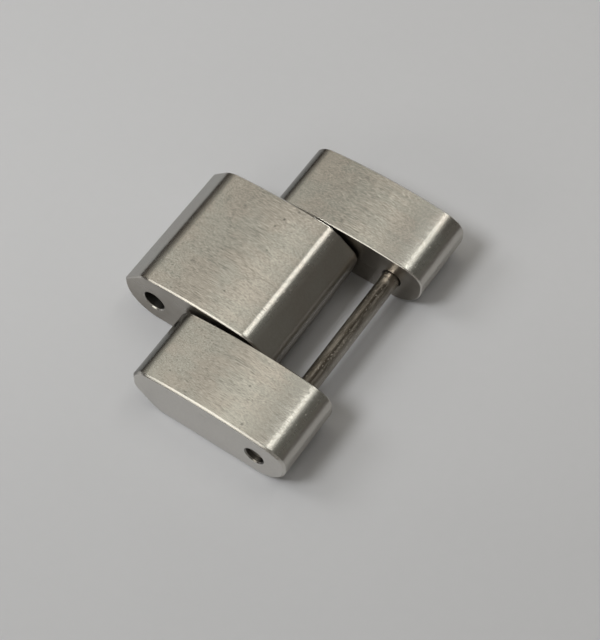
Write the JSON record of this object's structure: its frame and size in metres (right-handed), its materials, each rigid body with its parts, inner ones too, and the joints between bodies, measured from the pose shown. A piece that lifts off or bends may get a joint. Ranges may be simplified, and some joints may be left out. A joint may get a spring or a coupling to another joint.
{
  "type": "watch bracelet link",
  "caption": "Three-row watch bracelet link: crowned brushed centre link hinged on a hidden pin between two side links, with a removable pin across their free ends.",
  "frame": {"origin": "on the underside, below the hinge pin's axis, midway between the two ends and the two sides", "axes": "+X along the bracelet towards the link pin, +Y across it along the pins, +Z out of the crowned top"},
  "size_m": [0.0126, 0.016, 0.0035],
  "materials": {
    "brushed_link": "brushed along the bracelet, satin sides",
    "pin_steel": "drawn wire, dulled and scratched by use"
  },
  "bodies": {
    "side_links": {"side_link_right": "brushed_link", "side_link_left": "brushed_link", "hinge_pin": "pin_steel"},
    "centre_link": {"centre_link": "brushed_link"},
    "link_pin": {"link_pin": "pin_steel"}
  },
  "joints": [
    {"name": "centre_hinge", "type": "hinge", "parent": "side_links", "child": "centre_link", "pos_m": [0, 0, 0.00152], "axis": [0, 1, 0], "range_deg": [-150, 145]},
    {"name": "link_pin_slide", "type": "slide", "parent": "side_links", "child": "link_pin", "axis": [0, -1, 0], "range_m": [0, 0.016]}
  ]
}
